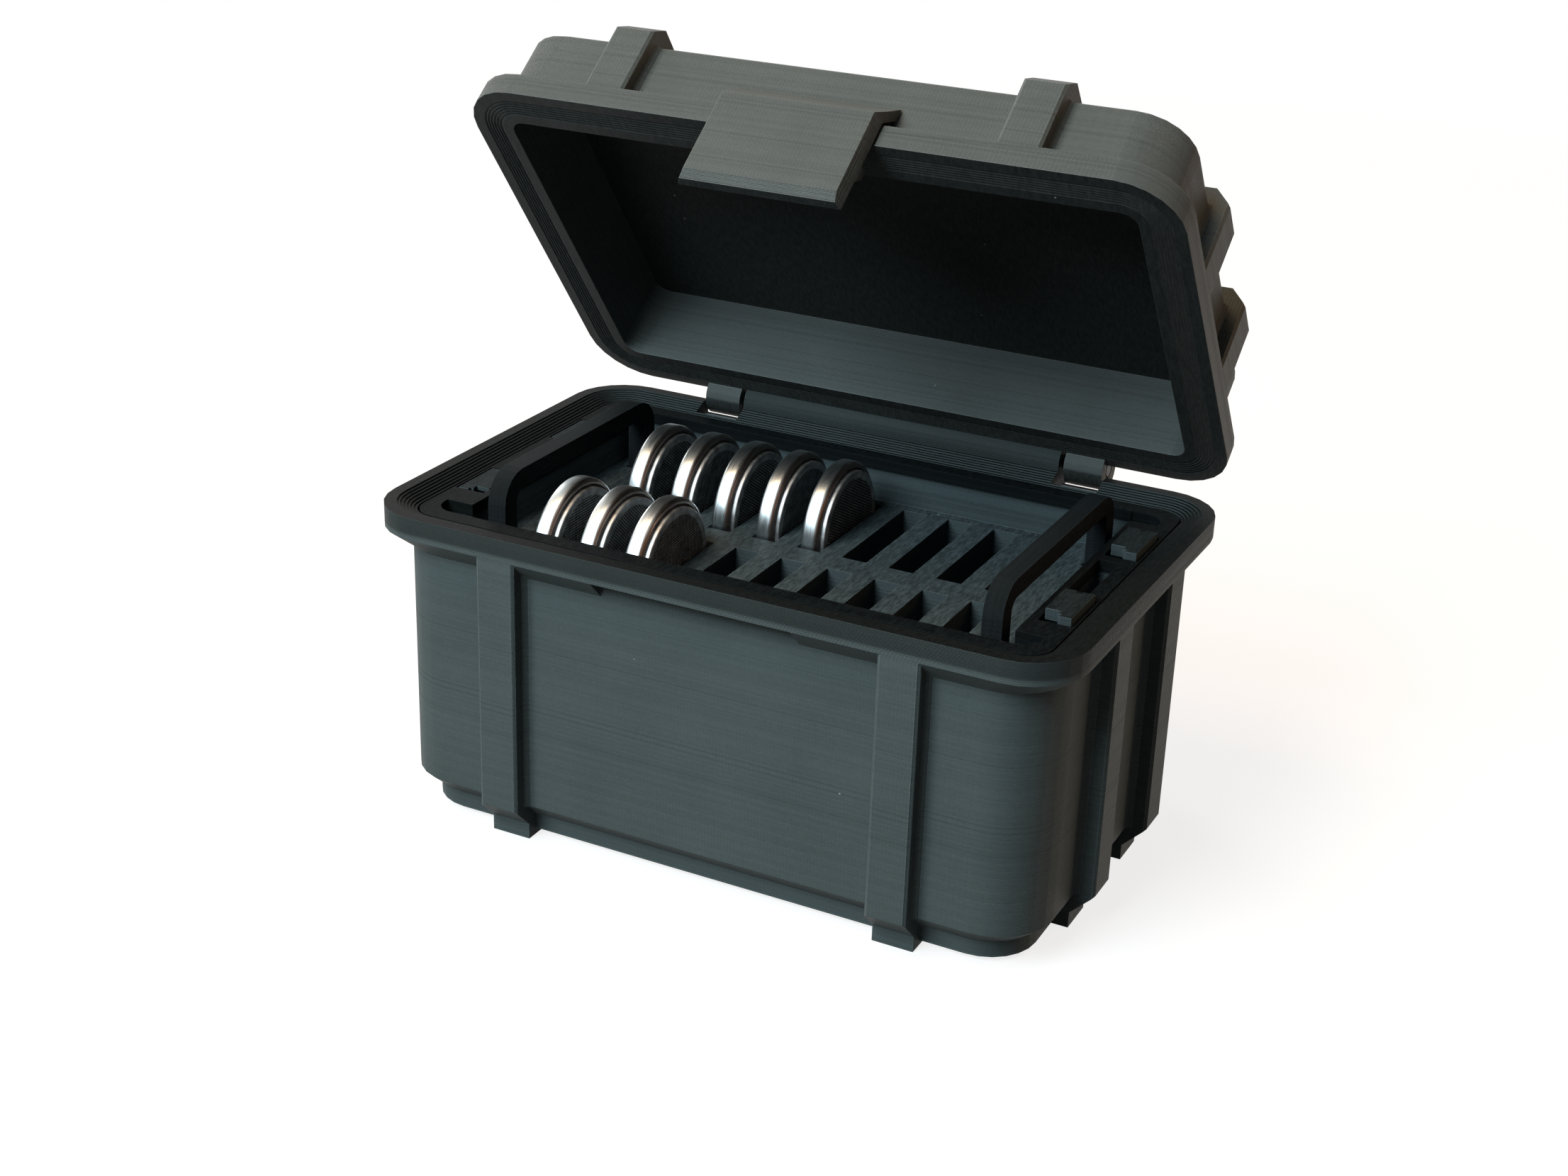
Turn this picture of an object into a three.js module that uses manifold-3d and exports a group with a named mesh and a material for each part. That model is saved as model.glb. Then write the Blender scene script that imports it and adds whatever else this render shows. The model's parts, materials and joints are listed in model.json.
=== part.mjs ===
// Storage box for coin cells: printed base and hinged lid, latch clip, lift-out tray, eight cells.
// Millimetres, +Z up, +X right, the front faces -Y, the lid stands open as in the picture.
// The pieces are drawn about the middle of the box, with Z = 0 at the underside of its feet.
import * as THREE from "three";
import { mergeVertices } from "three/addons/utils/BufferGeometryUtils.js";
import Module from "manifold-3d";

const wasm = await Module();
wasm.setup();

// Finish of each material
const FINISH = {
  print: { color: "#33383a", roughness: 0.62, metalness: 0 },
  tray: { color: "#2c3032", roughness: 0.66, metalness: 0 },
  steel: { color: "#b9bcbe", roughness: 0.28, metalness: 1 },
  can: { color: "#c9ccca", roughness: 0.22, metalness: 1 },
  gasket: { color: "#2a211b", roughness: 0.6, metalness: 0 },
  cap: { color: "#4b4e50", roughness: 0.42, metalness: 1 },
};

// Clearances
const GAP = 0.3;
const CELL_GAP = 0.1;
const OVERCUT = 1;
const WELD = 1e-4;

// Coin cell, 20 mm across and 3.2 mm thick: the size that the whole box is laid out from
const CELL_R = 10;
const CELL_THICK = 3.2;
const CELL_STEPS = 32;
const CELL_SINK = 0.3;
const FRONT_CELLS = 3;
const BACK_CELLS = 5;
const CAN_WALL = 0.5;
const CAN_EDGE = 0.4;
const CAN_SHOULDER = 2.5;
const CRIMP_WIDE = 0.9;
const CRIMP_TOP = 2.95;
const CRIMP_LOW = 2.6;
const GASKET_THICK = 0.3;
const GASKET_LOW = 1.2;
const GASKET_TOP = 2.85;
const CAP_EDGE = 0.35;
const CAP_LOW = 1.4;

// Slots in the tray, two rows
const SLOT_COUNT = 9;
const SLOT_PITCH = 7.25;
const SLOT_PLAY = 0.6;
const SLOT_SLACK = 1.2;
const SLOT_SPLIT = 4.6;
const SLOT_WIDE = CELL_THICK + SLOT_PLAY;
const SLOT_LONG = 2 * CELL_R + SLOT_SLACK;

// Handles that stand on the tray floor, beyond the last slots
const HANDLE_CLEAR = 5.0;
const HANDLE_THICK = 2.8;
const HANDLE_LEG = 3.0;
const HANDLE_BAR = 2.7;
const HANDLE_TOP = 3.5;
const HANDLE_BEND = 4.5;
const HANDLE_BEND_STEPS = 5;
const HANDLE_SEAT = 2.0;
const HANDLE_IN = ((SLOT_COUNT - 1) * SLOT_PITCH + SLOT_WIDE) / 2 + HANDLE_CLEAR;
const HANDLE_OUT = HANDLE_IN + HANDLE_THICK;

// Tray, depths measured down from the top of the base's rim
const WELL_BEHIND_HANDLE = 2.1;
const WELL_SIDE = 1.9;
const WELL_CORNER = 2;
const WELL_HALF_X = HANDLE_OUT + WELL_BEHIND_HANDLE;
const WELL_HALF_Y = SLOT_SPLIT / 2 + SLOT_LONG + WELL_SIDE;
const WELL_FLOOR = 7.65;
const CELL_DEPTH = WELL_FLOOR + CELL_SINK;
const SLOT_DEEP = CELL_DEPTH + CELL_R + GAP;
const TRAY_FLOOR = 1.25;
const TRAY_BOTTOM = SLOT_DEEP + TRAY_FLOOR;
const TRAY_END_WALL = 1.1;
const TRAY_SIDE_WALL = 1.6;
const TRAY_FLANGE_THICK = 1.5;
const HANDLE_SIDE_GAP = 4.6;
const HANDLE_HALF_Y = WELL_HALF_Y - HANDLE_SIDE_GAP;
const END_HOLE_WIDE = 3.0;
const END_HOLE_IN = WELL_HALF_X + TRAY_END_WALL;
const END_HOLE_OUT = END_HOLE_IN + END_HOLE_WIDE;
const TRAY_HALF_X = END_HOLE_OUT + TRAY_END_WALL;
const TRAY_HALF_Y = WELL_HALF_Y + TRAY_SIDE_WALL;

// Places along the tray's ends, from its middle, as shares of its half width
const END_HOLE_SHARE = 0.22;
const PLATE_NEAR_SHARE = 0.296;
const PLATE_FAR_SHARE = 0.622;
const CORNER_HOLE_SHARE = 0.8;

// Lock plates let into the ends of the tray
const PLATE_WIDE = 4.1;
const PLATE_EDGE = 0.6;
const PLATE_POCKET = 0.9;
const PLATE_PROUD = 1.0;
const PLATE_NOTCH = 0.9;
const PLATE_SLOT = 1.4;
const PLATE_STEP = 1.6;

// Inside of the rim: a flat ring, small steps down to a seat, and the ledge that carries the tray
const RIM_FLAT = 1.8;
const STEP_COUNT = 6;
const STEP_DROP = 0.2;
const STEPS_WIDE = 2.8;
const STEP_RUN = STEPS_WIDE / STEP_COUNT;
const SEAT_INSET = RIM_FLAT + STEPS_WIDE;
const SEAT_TOP = STEP_COUNT * STEP_DROP;
const TRAY_FLANGE_INSET = SEAT_INSET + GAP;
const LEDGE_DEPTH = SEAT_TOP + TRAY_FLANGE_THICK + GAP;
const LEDGE_WIDE = 1.0;
const CAVITY_INSET = SEAT_INSET + LEDGE_WIDE;
const TRAY_BLOCK_INSET = CAVITY_INSET + GAP;

// Outline of the rim, shared by the base and the lid
const RIM_HALF_X = TRAY_HALF_X + TRAY_BLOCK_INSET;
const RIM_HALF_Y = TRAY_HALF_Y + TRAY_BLOCK_INSET;
const RIM_CORNER_R = 8.5;
const PLINTH_CORNER_R = 7.2;
const LID_CORNER_R = 7.2;
const MIN_CORNER_R = 1.2;
const CORNER_STEPS = 6;

// Base, depths measured down from the top of the rim
const RIM_FACE = 3.24;
const WALL_INSET = 2.8;
const PLINTH_INSET = 5.3;
const PLINTH_HIGH = 2.35;
const SPACE_UNDER_TRAY = 21.55;
const FLOOR_THICK = PLINTH_HIGH + PLINTH_INSET - WALL_INSET;
const FOOT_HIGH = 0.8;
const CAVITY_FLOOR = TRAY_BOTTOM + SPACE_UNDER_TRAY;
const PLINTH_BOTTOM = CAVITY_FLOOR + FLOOR_THICK;
const PLINTH_TOP = PLINTH_BOTTOM - PLINTH_HIGH;
const WALL_BOTTOM = PLINTH_TOP - (PLINTH_INSET - WALL_INSET);
const BASE_HEIGHT = PLINTH_BOTTOM + FOOT_HIGH;

// Ribs on every side, their feet under the box and their tops over the lid
const RIB_WIDTH = 6.0;
const RIB_EDGE = 0.4;
const RIB_FLARE = 0.7;
const RIB_END_INSET = 22;
const RIB_X = RIM_HALF_X - RIB_END_INSET;
const RIB_Y = 10.5;
const FOOT_INSET = 3.3;
const FOOT_LONG = 8.7;
const FOOT_REACH = FOOT_INSET + FOOT_LONG;

// Lid, heights measured up from its mating face
const LID_LEDGE = 3.4;
const LID_CEILING = 12.3;
const LID_ROOF = 1.5;
const LID_TOP = LID_CEILING + LID_ROOF;
const LID_EDGE = 0.5;
const LID_FLAT = 1.7;
const LID_GROOVES = 6;
const LID_BAND = 2.8;
const LID_GROOVE_PITCH = LID_BAND / LID_GROOVES;
const LID_GROOVE_DEEP = 0.16;
const LID_CAVITY_INSET = LID_FLAT + LID_BAND + LID_FLAT;
const LID_RIB_RISE = 2.5;
const LID_RIB_REACH = 9;

// Hinge
const AXIS_BEHIND_RIM = 1.7;
const AXIS_Y = RIM_HALF_Y + AXIS_BEHIND_RIM;
const AXIS_ABOVE_RIM = 0.64;
const BARREL_R = 3.1;
const BARREL_SIDES = 32;
const KNUCKLE_LONG = 5.9;
const KNUCKLE_SIDE_GAP = 0.8;
const KNUCKLE_IN = RIB_X - RIB_WIDTH / 2;
const KNUCKLE_OUT = KNUCKLE_IN + KNUCKLE_LONG;
const BARREL_END = KNUCKLE_IN - KNUCKLE_SIDE_GAP;
const NOTCH_INSET = 4.0;
const NOTCH_FRONT = RIM_HALF_Y - NOTCH_INSET;
const NOTCH_DEPTH = 3.0;
const PIN_R = 1.0;
const PIN_DEEP = 5.0;
const PIN_SIDES = 20;
const STOP_R = 0.5;
const STOP_SIDES = 12;
const STOP_INSET = 1.2;
const REST_OPEN = 52;

// Latch clip, heights measured up from the mating face of the lid
const LATCH_HALF = 11.6;
const LATCH_SIDE_IN = 0.7;
const LATCH_THICK = 1.9;
const LATCH_STAND_OFF = 0.5;
const LATCH_ARM_LOW = LID_LEDGE + GAP * Math.SQRT2;
const LATCH_BEVEL_TOP = 9.7;
const LATCH_BEVEL_IN = 0.5;
const LATCH_BEVEL_HIGH = 1.3;
const LATCH_LOW = LATCH_BEVEL_TOP + LATCH_BEVEL_HIGH;
const LATCH_BEVEL_STEPS = 7;
const HOOK_BITE = 1.0;
const HOOK_DROP = 2.6;
const CATCH_SIDE = 3.2;
const CATCH_HALF = LATCH_HALF + CATCH_SIDE;

const RIM_Z = BASE_HEIGHT;
const AXIS_Z = RIM_Z + AXIS_ABOVE_RIM;
const LID_Z = RIM_Z + GAP;
const RAD = Math.PI / 180;
const BOTH = [-1, 1];

// Solids and geometry

function toSolid(geometry) {
  const g = geometry.index ? geometry.clone() : geometry;
  g.deleteAttribute("normal");
  g.deleteAttribute("uv");
  const merged = mergeVertices(g, WELD);
  return new wasm.Manifold(new wasm.Mesh({
    numProp: 3,
    vertProperties: new Float32Array(merged.attributes.position.array),
    triVerts: new Uint32Array(merged.index.array),
  }));
}

function toGeometry(solid) {
  const mesh = solid.getMesh();
  const g = new THREE.BufferGeometry();
  const points = new Float32Array(mesh.numVert * 3);
  for (let i = 0; i < mesh.numVert; i++) {
    for (let k = 0; k < 3; k++) points[i * 3 + k] = mesh.vertProperties[i * mesh.numProp + k];
  }
  g.setAttribute("position", new THREE.BufferAttribute(points, 3));
  g.setIndex(Array.from(mesh.triVerts));
  return g;
}

function join(parts) {
  return parts.reduce((a, b) => a.add(b));
}

function cut(solid, tools) {
  return tools.reduce((a, b) => a.subtract(b), solid);
}

function box(x0, x1, y0, y1, z0, z1) {
  const g = new THREE.BoxGeometry(Math.abs(x1 - x0), Math.abs(y1 - y0), Math.abs(z1 - z0));
  g.translate((x0 + x1) / 2, (y0 + y1) / 2, (z0 + z1) / 2);
  return toSolid(g);
}

function prism(points, low, high) {
  const shape = new THREE.Shape(points.map(([a, b]) => new THREE.Vector2(a, b)));
  const g = new THREE.ExtrudeGeometry(shape, { depth: high - low, bevelEnabled: false });
  g.translate(0, 0, low);
  return g;
}

// Points are x, y and the prism stands along Z
function prismZ(points, low, high) {
  return toSolid(prism(points, low, high));
}

// Points are y, z and the prism lies along X
function prismX(points, low, high) {
  const g = prism(points, low, high);
  g.applyMatrix4(new THREE.Matrix4().set(0, 0, 1, 0, 1, 0, 0, 0, 0, 1, 0, 0, 0, 0, 0, 1));
  return toSolid(g);
}

function rodX(radius, x0, x1, y, z, sides = BARREL_SIDES) {
  const g = new THREE.CylinderGeometry(radius, radius, Math.abs(x1 - x0), sides);
  g.rotateZ(Math.PI / 2);
  g.translate((x0 + x1) / 2, y, z);
  return toSolid(g);
}

// One rounded rectangle, set in from the rim outline
function loop(inset, z, halfX = RIM_HALF_X, halfY = RIM_HALF_Y, corner = RIM_CORNER_R) {
  const hx = halfX - inset;
  const hy = halfY - inset;
  const r = Math.max(corner - inset, MIN_CORNER_R);
  const points = [];
  for (const [sx, sy, start] of [[1, 1, 0], [-1, 1, 90], [-1, -1, 180], [1, -1, 270]]) {
    for (let i = 0; i <= CORNER_STEPS; i++) {
      const a = (start + (90 * i) / CORNER_STEPS) * RAD;
      points.push([sx * (hx - r) + r * Math.cos(a), sy * (hy - r) + r * Math.sin(a), z]);
    }
  }
  return points;
}

// Closed skin through a run of loops, capped at the first and the last
function skin(loops) {
  const n = loops[0].length;
  const points = loops.flat(2);
  const index = [];
  for (let k = 0; k + 1 < loops.length; k++) {
    for (let i = 0; i < n; i++) {
      const j = (i + 1) % n;
      const a = k * n + i, b = k * n + j, c = (k + 1) * n + j, d = (k + 1) * n + i;
      index.push(a, b, c, a, c, d);
    }
  }
  const last = (loops.length - 1) * n;
  for (let i = 1; i + 1 < n; i++) {
    index.push(0, i + 1, i);
    index.push(last, last + i, last + i + 1);
  }
  const g = new THREE.BufferGeometry();
  g.setAttribute("position", new THREE.BufferAttribute(new Float32Array(points), 3));
  g.setIndex(index);
  return toSolid(g);
}

// The same, but with a corner radius of its own: the outer walls of the base and the lid
function wallLoop(inset, z, radius) {
  return loop(inset, z, RIM_HALF_X, RIM_HALF_Y, radius + inset);
}

function block(inset, low, high) {
  return skin([loop(inset, low), loop(inset, high)]);
}

// Rib, given as its side view: inward distance from the rim face, and height
function ribSolid(side, inward, along) {
  const half = RIB_WIDTH / 2;
  const flare = half + RIB_FLARE;
  const far = Math.max(...side.profile.map(([d]) => d)) + OVERCUT;
  const plan = [[-half + RIB_EDGE, 0], [half - RIB_EDGE, 0], [half, RIB_EDGE], [half, far],
    [-half, far], [-half, RIB_EDGE]];
  const flarePlan = [[-half, WALL_INSET - RIB_FLARE], [half, WALL_INSET - RIB_FLARE],
    [flare, WALL_INSET], [flare, WALL_INSET + OVERCUT], [-flare, WALL_INSET + OVERCUT], [-flare, WALL_INSET]];
  const heights = side.profile.map(([, z]) => z);
  const core = prismZ(plan, Math.min(...heights) - OVERCUT, Math.max(...heights) + OVERCUT)
    .intersect(prismX(side.profile, -half - OVERCUT, half + OVERCUT));
  const flareStrip = prismZ(flarePlan, side.flareLow, side.flareHigh);
  return core.add(flareStrip).translate([along, -inward, 0]);
}

// Eight ribs: two on each side of the rounded rectangle
function ribsAround(side) {
  const ribs = [];
  for (const s of BOTH) {
    ribs.push(ribSolid(side, RIM_HALF_Y, s * RIB_X));
    ribs.push(ribSolid(side, RIM_HALF_Y, s * RIB_X).rotate([0, 0, 180]));
    ribs.push(ribSolid(side, RIM_HALF_X, s * RIB_Y).rotate([0, 0, 90]));
    ribs.push(ribSolid(side, RIM_HALF_X, s * RIB_Y).rotate([0, 0, 270]));
  }
  return ribs;
}

// Base

function baseLoops() {
  const at = (inset, depth) => loop(inset, RIM_Z - depth);
  const loops = [wallLoop(PLINTH_INSET, RIM_Z - PLINTH_BOTTOM, PLINTH_CORNER_R),
    wallLoop(PLINTH_INSET, RIM_Z - PLINTH_TOP, PLINTH_CORNER_R),
    wallLoop(WALL_INSET, RIM_Z - WALL_BOTTOM, RIM_CORNER_R),
    wallLoop(WALL_INSET, RIM_Z - RIM_FACE - WALL_INSET, RIM_CORNER_R), at(0, RIM_FACE), at(0, 0)];
  for (let i = 0; i < STEP_COUNT; i++) {
    loops.push(at(RIM_FLAT + i * STEP_RUN, i * STEP_DROP));
    loops.push(at(RIM_FLAT + i * STEP_RUN, (i + 1) * STEP_DROP));
  }
  loops.push(at(SEAT_INSET, SEAT_TOP), at(SEAT_INSET, LEDGE_DEPTH),
    at(CAVITY_INSET, LEDGE_DEPTH), at(CAVITY_INSET, CAVITY_FLOOR));
  return loops;
}

function baseRibs() {
  return ribsAround({
    profile: [[0, RIM_Z - RIM_FACE / 2], [0, RIM_Z - WALL_BOTTOM],
      [FOOT_INSET, RIM_Z - WALL_BOTTOM - FOOT_INSET], [FOOT_INSET, 0],
      [FOOT_REACH, 0], [FOOT_REACH, RIM_Z - PLINTH_BOTTOM + GAP],
      [PLINTH_INSET + OVERCUT / 2, RIM_Z - PLINTH_BOTTOM + GAP],
      [PLINTH_INSET + OVERCUT / 2, RIM_Z - PLINTH_TOP],
      [WALL_INSET + OVERCUT / 2, RIM_Z - WALL_BOTTOM], [WALL_INSET + OVERCUT / 2, RIM_Z - RIM_FACE / 2]],
    flareLow: RIM_Z - WALL_BOTTOM,
    flareHigh: RIM_Z - RIM_FACE - WALL_INSET / 2,
  });
}

function barrelPiece(x0, x1) {
  const lean = BARREL_R * Math.SQRT1_2;
  const root = RIM_HALF_Y - WALL_INSET + GAP;
  const brace = [[root, RIM_Z - OVERCUT], [AXIS_Y, AXIS_Z], [AXIS_Y + lean, AXIS_Z - lean],
    [root, AXIS_Z - lean - (AXIS_Y + lean - root)]];
  return rodX(BARREL_R, x0, x1, AXIS_Y, AXIS_Z).add(prismX(brace, x0, x1));
}

function baseSolid() {
  const notchEnd = KNUCKLE_OUT + GAP;
  const cavity = skin([loop(CAVITY_INSET, RIM_Z - LEDGE_DEPTH), loop(CAVITY_INSET, RIM_Z - CAVITY_FLOOR)].reverse());
  const shell = cut(join([skin(baseLoops()), ...baseRibs()]), [cavity]);
  const tools = [box(-CATCH_HALF, CATCH_HALF, -RIM_HALF_Y - OVERCUT, -RIM_HALF_Y + WALL_INSET,
    RIM_Z - RIM_FACE - WALL_INSET, RIM_Z - RIM_FACE)];
  for (const s of BOTH) {
    tools.push(box(s * BARREL_END, s * notchEnd, NOTCH_FRONT, AXIS_Y + BARREL_R + OVERCUT,
      RIM_Z - NOTCH_DEPTH, RIM_Z + OVERCUT));
  }
  const notched = cut(shell, tools);
  const boreIn = KNUCKLE_IN - PIN_DEEP - GAP;
  const bores = BOTH.map((s) => rodX(PIN_R + GAP, s * boreIn, s * KNUCKLE_OUT, AXIS_Y, AXIS_Z));
  return cut(notched.add(barrelPiece(-BARREL_END, BARREL_END)), bores);
}

// Lid, modelled closed and then swung open

function lidLoops() {
  const at = (inset, height) => loop(inset, LID_Z + height);
  const loops = [at(LID_CAVITY_INSET, LID_CEILING), at(LID_CAVITY_INSET, 0)];
  for (let i = LID_GROOVES; i > 0; i--) {
    loops.push(at(LID_FLAT + i * LID_GROOVE_PITCH, 0));
    loops.push(at(LID_FLAT + (i - 0.5) * LID_GROOVE_PITCH, LID_GROOVE_DEEP));
  }
  const wall = (inset, height) => wallLoop(inset, LID_Z + height, LID_CORNER_R);
  loops.push(at(LID_FLAT, 0), at(0, 0), at(0, LID_LEDGE), wall(WALL_INSET, LID_LEDGE),
    wall(WALL_INSET, LID_TOP - LID_EDGE), wall(WALL_INSET + LID_EDGE, LID_TOP));
  return loops;
}

function lidRibs() {
  return ribsAround({
    profile: [[0, LID_Z + LID_LEDGE / 2], [WALL_INSET + OVERCUT / 2, LID_Z + LID_LEDGE / 2],
      [WALL_INSET + OVERCUT / 2, LID_Z + LID_TOP - OVERCUT], [LID_RIB_REACH, LID_Z + LID_TOP - OVERCUT],
      [LID_RIB_REACH, LID_Z + LID_TOP + LID_RIB_RISE], [LID_RIB_RISE, LID_Z + LID_TOP + LID_RIB_RISE],
      [0, LID_Z + LID_TOP]],
    flareLow: LID_Z + LID_LEDGE / 2,
    flareHigh: LID_Z + LID_TOP - LID_EDGE,
  });
}

function knuckle(s) {
  const [x0, x1] = s > 0 ? [KNUCKLE_IN, KNUCKLE_OUT] : [-KNUCKLE_OUT, -KNUCKLE_IN];
  const root = RIM_HALF_Y - OVERCUT;
  const bridge = [[root, LID_Z], [AXIS_Y, LID_Z], [AXIS_Y, LID_Z + LID_LEDGE], [root, LID_Z + LID_LEDGE]];
  return rodX(BARREL_R, x0, x1, AXIS_Y, AXIS_Z).add(prismX(bridge, x0, x1));
}

function lidSolid() {
  const clear = BARREL_R + GAP;
  const shell = join([skin(lidLoops()), ...lidRibs()]);
  const barrelRoom = rodX(clear, -KNUCKLE_IN, KNUCKLE_IN, AXIS_Y, AXIS_Z);
  const bores = BOTH.map((s) => rodX(PIN_R + GAP, s * (KNUCKLE_IN - OVERCUT), s * (KNUCKLE_OUT + OVERCUT),
    AXIS_Y, AXIS_Z));
  return cut(join([cut(shell, [barrelRoom]), ...BOTH.map(knuckle)]), bores);
}

function swingLid(geometry) {
  geometry.translate(0, -AXIS_Y, -AXIS_Z);
  geometry.rotateX(-REST_OPEN * RAD);
  return geometry.translate(0, AXIS_Y, AXIS_Z);
}

// Latch clip: arm at 45 degrees from the lid's wall over its flange, plate, stepped bevel at the
// lower edge, hook for the rim

function latchSolid() {
  const inY = -RIM_HALF_Y - LATCH_STAND_OFF;
  const outY = inY - LATCH_THICK;
  const armEnd = -(RIM_HALF_Y - WALL_INSET) - GAP;
  const armLow = LID_Z + LATCH_ARM_LOW;
  const top = LID_Z + LID_LEDGE;
  const hookTop = RIM_Z - RIM_FACE - GAP;
  const bevel = [];
  for (let i = 0; i < LATCH_BEVEL_STEPS; i++) {
    const drop = LATCH_BEVEL_HIGH / LATCH_BEVEL_STEPS;
    const run = LATCH_BEVEL_IN / LATCH_BEVEL_STEPS;
    const z = LID_Z - LATCH_BEVEL_TOP - i * drop;
    bevel.push([outY + i * run, z], [outY + (i + 1) * run, z]);
  }
  const low = LID_Z - LATCH_LOW;
  const clip = prismX([[armEnd, armLow + armEnd + RIM_HALF_Y], [armEnd, top + armEnd - outY], [outY, top],
    ...bevel, [outY + LATCH_BEVEL_IN, low], [inY, low], [inY, hookTop - HOOK_DROP],
    [-RIM_HALF_Y + HOOK_BITE, hookTop - HOOK_DROP / 3], [-RIM_HALF_Y + HOOK_BITE, hookTop],
    [inY, hookTop], [inY, armLow - LATCH_STAND_OFF]], -LATCH_HALF, LATCH_HALF);
  const face = LATCH_HALF - LATCH_SIDE_IN;
  return clip.intersect(prismZ([[-face, outY], [face, outY], [LATCH_HALF, inY], [LATCH_HALF, 0],
    [-LATCH_HALF, 0], [-LATCH_HALF, inY]], low - OVERCUT, top + RIM_HALF_Y));
}

// Tray

function slotX(k) {
  return (k - (SLOT_COUNT - 1) / 2) * SLOT_PITCH;
}

function slotY(row) {
  return row * (SLOT_SPLIT + SLOT_LONG) / 2;
}

// Opening in each corner of the tray, on from the end of the well
function cornerHole(sx, sy) {
  const near = CORNER_HOLE_SHARE * TRAY_HALF_Y;
  const far = WELL_HALF_Y;
  const bend = Math.min(END_HOLE_WIDE, far - near);
  const points = [[WELL_HALF_X - OVERCUT, near], [END_HOLE_OUT, near], [END_HOLE_OUT, far - bend]];
  for (let i = 1; i <= CORNER_STEPS; i++) {
    const a = (90 * i * RAD) / CORNER_STEPS;
    points.push([END_HOLE_OUT - bend + bend * Math.cos(a), far - bend + bend * Math.sin(a)]);
  }
  points.push([WELL_HALF_X - OVERCUT, far]);
  const g = prism(points, RIM_Z - TRAY_BOTTOM - OVERCUT, RIM_Z);
  if (sx < 0) g.rotateZ(Math.PI);
  return sx * sy > 0 ? toSolid(g) : toSolid(g).mirror([0, 1, 0]);
}

function traySolid() {
  const top = RIM_Z - SEAT_TOP;
  const floor = RIM_Z - WELL_FLOOR;
  const over = RIM_Z + OVERCUT;
  const under = RIM_Z - TRAY_BOTTOM - OVERCUT;
  const body = block(TRAY_FLANGE_INSET, top - TRAY_FLANGE_THICK, top)
    .add(block(TRAY_BLOCK_INSET, RIM_Z - TRAY_BOTTOM, top));
  const well = skin([loop(0, floor, WELL_HALF_X, WELL_HALF_Y, WELL_CORNER),
    loop(0, over, WELL_HALF_X, WELL_HALF_Y, WELL_CORNER)]);
  const tools = [well];
  const endHole = END_HOLE_SHARE * TRAY_HALF_Y;
  for (const row of BOTH) {
    for (let k = 0; k < SLOT_COUNT; k++) {
      tools.push(box(slotX(k) - SLOT_WIDE / 2, slotX(k) + SLOT_WIDE / 2,
        slotY(row) - SLOT_LONG / 2, slotY(row) + SLOT_LONG / 2, RIM_Z - SLOT_DEEP, over));
    }
  }
  for (const sx of BOTH) {
    tools.push(box(sx * END_HOLE_IN, sx * END_HOLE_OUT, -endHole, endHole, under, over));
    for (const sy of BOTH) {
      tools.push(cornerHole(sx, sy));
      tools.push(platePlace(sx, sy, GAP, top - PLATE_POCKET, over));
      tools.push(box(sx * (HANDLE_IN - GAP), sx * (HANDLE_OUT + GAP), sy * (HANDLE_HALF_Y + GAP),
        sy * (HANDLE_HALF_Y - HANDLE_LEG - GAP), floor - HANDLE_SEAT, over));
    }
  }
  return cut(body, tools);
}

// The block that a lock plate takes up, grown by a clearance for its pocket
function platePlace(sx, sy, grow, low, high) {
  const out = RIM_HALF_X - TRAY_FLANGE_INSET - PLATE_EDGE;
  return box(sx * (out - PLATE_WIDE - grow), sx * (out + grow),
    sy * (PLATE_NEAR_SHARE * TRAY_HALF_Y - grow), sy * (PLATE_FAR_SHARE * TRAY_HALF_Y + grow), low, high);
}

function plateSolid(sx, sy) {
  const top = RIM_Z - SEAT_TOP;
  const high = sx > 0 ? top + PLATE_PROUD : top;
  const low = top - PLATE_POCKET + GAP;
  const mid = sx * (RIM_HALF_X - TRAY_FLANGE_INSET - PLATE_EDGE - PLATE_WIDE / 2);
  const front = sy > 0 ? PLATE_NEAR_SHARE * TRAY_HALF_Y : -PLATE_FAR_SHARE * TRAY_HALF_Y;
  const tools = [PLATE_NEAR_SHARE, PLATE_FAR_SHARE].map((share) => box(mid - PLATE_NOTCH / 2,
    mid + PLATE_NOTCH / 2, sy * share * TRAY_HALF_Y - PLATE_SLOT / 2, sy * share * TRAY_HALF_Y + PLATE_SLOT / 2,
    low - OVERCUT, high + OVERCUT));
  tools.push(box(mid, mid - sx * PLATE_WIDE, front - OVERCUT, front + PLATE_STEP, low - OVERCUT, high + OVERCUT));
  return cut(platePlace(sx, sy, 0, low, high), tools);
}

// Handle: bar along Y with rounded outer corners on two legs
function handleSolid(sx) {
  const high = RIM_Z + HANDLE_TOP;
  const low = RIM_Z - WELL_FLOOR - HANDLE_SEAT + GAP;
  const outline = (half, top, bend) => {
    const points = [];
    for (const s of [1, -1]) {
      for (let i = 0; i <= HANDLE_BEND_STEPS; i++) {
        const a = s > 0 ? (90 * i * RAD) / HANDLE_BEND_STEPS : (90 + (90 * i) / HANDLE_BEND_STEPS) * RAD;
        points.push([s * (half - bend) + bend * Math.cos(a), top - bend + bend * Math.sin(a)]);
      }
    }
    return points;
  };
  const outer = [...outline(HANDLE_HALF_Y, high, HANDLE_BEND), [-HANDLE_HALF_Y, low], [HANDLE_HALF_Y, low]];
  const inHalf = HANDLE_HALF_Y - HANDLE_LEG;
  const inner = [...outline(inHalf, high - HANDLE_BAR, HANDLE_BEND - HANDLE_BAR),
    [-inHalf, low - OVERCUT], [inHalf, low - OVERCUT]];
  const [x0, x1] = sx > 0 ? [HANDLE_IN, HANDLE_OUT] : [-HANDLE_OUT, -HANDLE_IN];
  return prismX(outer, x0, x1).subtract(prismX(inner, x0 - OVERCUT, x1 + OVERCUT));
}

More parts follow.
